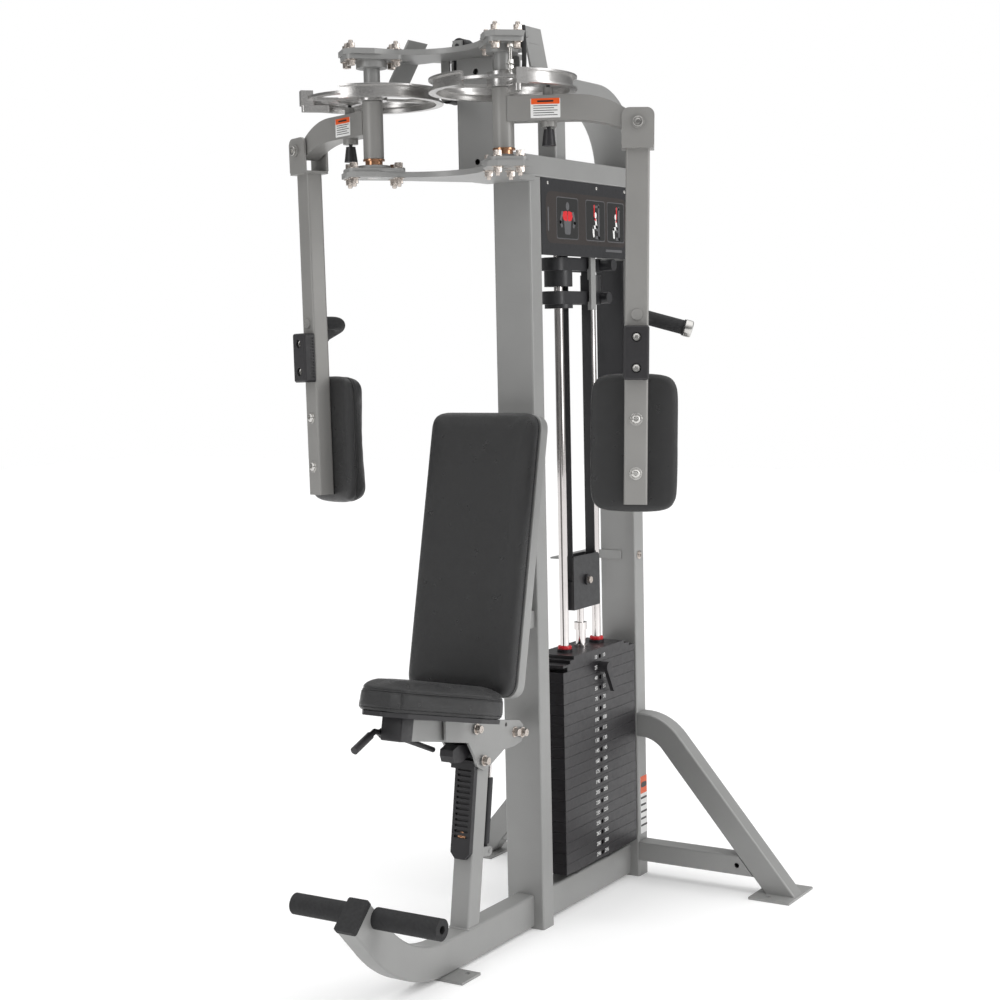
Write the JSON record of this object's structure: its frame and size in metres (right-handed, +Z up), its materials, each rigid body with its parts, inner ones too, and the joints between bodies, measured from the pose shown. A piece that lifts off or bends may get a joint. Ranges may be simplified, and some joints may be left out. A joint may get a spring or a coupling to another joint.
{
  "type": "pec deck machine",
  "caption": "Seated chest-fly machine with a weight stack, two cam-driven swinging arms with elbow pads and handles, and a sliding seat.",
  "frame": {"origin": "middle of the footprint, on the floor", "axes": "+Z up; -Y the side the user sits on; +X the side of the weight selector pin"},
  "size_m": [0.9938, 1.3155, 2.0672],
  "materials": {
    "silver_paint": "satin silver-grey powder coat",
    "black_paint": "satin black",
    "stack_black": "fine textured black",
    "bright_steel": "machined",
    "chrome": "polished",
    "cam_aluminium": "satin cast and machined",
    "upholstery": "grained black vinyl",
    "black_plastic": "satin",
    "black_rubber": "matte",
    "bronze": "turned",
    "belt": "matte",
    "sign": "satin black panel"
  },
  "bodies": {
    "frame": {"front_upright": "silver_paint", "rear_upright": "silver_paint", "boom_bend": "silver_paint", "boom_tube": "silver_paint", "top_beam": "silver_paint", "head_posts": "silver_paint", "base_beam": "silver_paint", "footrest_tube": "silver_paint", "footrest_bar": "black_rubber", "stabiliser_legs": "silver_paint", "rear_braces": "silver_paint", "head_lower_plate": "silver_paint", "head_upper_plate": "silver_paint", "head_bearings": "silver_paint", "pivot_shafts": "bright_steel", "pivot_bushes": "bronze", "guide_rods": "chrome", "stack_bumpers": "black_rubber", "weight_plates": "stack_black", "lift_belt": "belt", "belt_run": "belt", "stack_brackets": "silver_paint", "placard": "sign", "seat_post": "silver_paint", "seat_rack": "black_plastic", "gas_cylinder": "black_paint", "back_cushion": "upholstery", "back_brackets": "silver_paint"},
    "stack_lift": {"lifted_plates": "stack_black", "selector_stem": "chrome", "pulley_block": "black_paint"},
    "block_pulley": {"block_pulley": "black_plastic"},
    "selector_pin": {"selector_pin": "black_plastic"},
    "add_on_lower": {"add_on_lower": "black_paint"},
    "add_on_upper": {"add_on_upper": "black_paint"},
    "seat": {"seat_carriage": "silver_paint", "carriage_glides": "black_plastic", "seat_board": "black_plastic", "seat_cushion": "upholstery", "gas_rod": "chrome"},
    "release_lever": {"release_lever": "black_plastic"},
    "seat_pawl": {"seat_pawl": "black_plastic"},
    "right_cam": {"right_cam": "cam_aluminium"},
    "right_arm": {"right_arm": "silver_paint"},
    "right_pull_pin": {"right_pull_pin": "black_plastic"},
    "right_lower_arm": {"right_lower_arm": "silver_paint", "right_grip": "black_rubber", "right_stop_block": "black_plastic", "right_arm_pad": "upholstery"},
    "right_top_roller": {"right_top_roller": "black_plastic"},
    "right_low_roller": {"right_low_roller": "black_plastic"},
    "left_cam": {"left_cam": "cam_aluminium"},
    "left_arm": {"left_arm": "silver_paint"},
    "left_pull_pin": {"left_pull_pin": "black_plastic"},
    "left_lower_arm": {"left_lower_arm": "silver_paint", "left_grip": "black_rubber", "left_stop_block": "black_plastic", "left_arm_pad": "upholstery"},
    "left_top_roller": {"left_top_roller": "black_plastic"},
    "left_low_roller": {"left_low_roller": "black_plastic"}
  },
  "joints": [
    {"name": "stack_lift", "type": "slide", "parent": "frame", "child": "stack_lift", "axis": [0, 0, 1], "range_m": [0, 0.233], "deforming": ["lift_belt"]},
    {"name": "selector_pin", "type": "slide", "parent": "stack_lift", "child": "selector_pin", "axis": [1, 0, 0], "range_m": [0, 0.075]},
    {"name": "block_pulley_spin", "type": "hinge", "parent": "stack_lift", "child": "block_pulley", "pos_m": [0, 0.3522, 0.8], "axis": [1, 0, 0], "continuous": true},
    {"name": "add_on_lower", "type": "slide", "parent": "frame", "child": "add_on_lower", "axis": [0, 0, 1], "range_m": [-0.6, 0]},
    {"name": "add_on_upper", "type": "slide", "parent": "frame", "child": "add_on_upper", "axis": [0, 0, 1], "range_m": [-0.6, 0]},
    {"name": "seat_slide", "type": "slide", "parent": "frame", "child": "seat", "axis": [0, 0.153, 0.9882], "range_m": [-0.05, 0.025]},
    {"name": "seat_lever", "type": "hinge", "parent": "seat", "child": "release_lever", "pos_m": [-0.0335, -0.4518, 0.567], "axis": [-1, 0, 0], "range_deg": [0, 12], "stiffness_Nm_per_rad": 2, "springref_deg": -17.19},
    {"name": "seat_pawl", "type": "slide", "parent": "seat", "child": "seat_pawl", "axis": [0, -0.9882, 0.153], "range_m": [0, 0.0101]},
    {"name": "right_fly", "type": "hinge", "parent": "frame", "child": "right_cam", "pos_m": [0.168, -0.2408, 1.93], "axis": [0, 0, 1], "range_deg": [-90, 0]},
    {"name": "right_start_position", "type": "hinge", "parent": "right_cam", "child": "right_arm", "pos_m": [0.168, -0.2408, 1.87], "axis": [0, 0, 1], "range_deg": [-45, 0]},
    {"name": "right_pull_pin", "type": "slide", "parent": "right_arm", "child": "right_pull_pin", "axis": [0, 0, -1], "range_m": [0, 0.014], "stiffness_N_per_m": 400, "springref_m": -0.02},
    {"name": "right_yoke", "type": "hinge", "parent": "right_arm", "child": "right_lower_arm", "pos_m": [0.41926, -0.11277, 1.838], "axis": [-0.454, 0.891, 0], "range_deg": [-10, 4.5]},
    {"name": "right_top_roller_spin", "type": "hinge", "parent": "frame", "child": "right_top_roller", "pos_m": [0.046, -0.0588, 2.048], "axis": [0, 1, 0], "continuous": true},
    {"name": "right_low_roller_spin", "type": "hinge", "parent": "frame", "child": "right_low_roller", "pos_m": [0.079, -0.0588, 1.942], "axis": [0, 1, 0], "continuous": true},
    {"name": "left_fly", "type": "hinge", "parent": "frame", "child": "left_cam", "pos_m": [-0.168, -0.2408, 1.93], "axis": [0, 0, 1], "range_deg": [0, 90]},
    {"name": "left_start_position", "type": "hinge", "parent": "left_cam", "child": "left_arm", "pos_m": [-0.168, -0.2408, 1.87], "axis": [0, 0, 1], "range_deg": [0, 45]},
    {"name": "left_pull_pin", "type": "slide", "parent": "left_arm", "child": "left_pull_pin", "axis": [0, 0, -1], "range_m": [0, 0.014], "stiffness_N_per_m": 400, "springref_m": -0.02},
    {"name": "left_yoke", "type": "hinge", "parent": "left_arm", "child": "left_lower_arm", "pos_m": [-0.42947, -0.13516, 1.838], "axis": [0.3746, 0.9272, 0], "range_deg": [-4.5, 10]},
    {"name": "left_top_roller_spin", "type": "hinge", "parent": "frame", "child": "left_top_roller", "pos_m": [-0.046, -0.0588, 2.048], "axis": [0, 1, 0], "continuous": true},
    {"name": "left_low_roller_spin", "type": "hinge", "parent": "frame", "child": "left_low_roller", "pos_m": [-0.079, -0.0588, 1.942], "axis": [0, 1, 0], "continuous": true}
  ],
  "couplings": [
    {"joint": "seat_pawl", "follows": "seat_lever", "m_per_rad": 0.0477},
    {"joint": "add_on_upper", "follows": "add_on_lower", "ratio": 1},
    {"joint": "right_fly", "follows": "stack_lift", "rad_per_m": -6.73},
    {"joint": "right_top_roller_spin", "follows": "stack_lift", "rad_per_m": 60.6},
    {"joint": "right_low_roller_spin", "follows": "stack_lift", "rad_per_m": -60.6},
    {"joint": "left_fly", "follows": "stack_lift", "rad_per_m": 6.73},
    {"joint": "left_top_roller_spin", "follows": "stack_lift", "rad_per_m": -60.6},
    {"joint": "left_low_roller_spin", "follows": "stack_lift", "rad_per_m": 60.6}
  ]
}
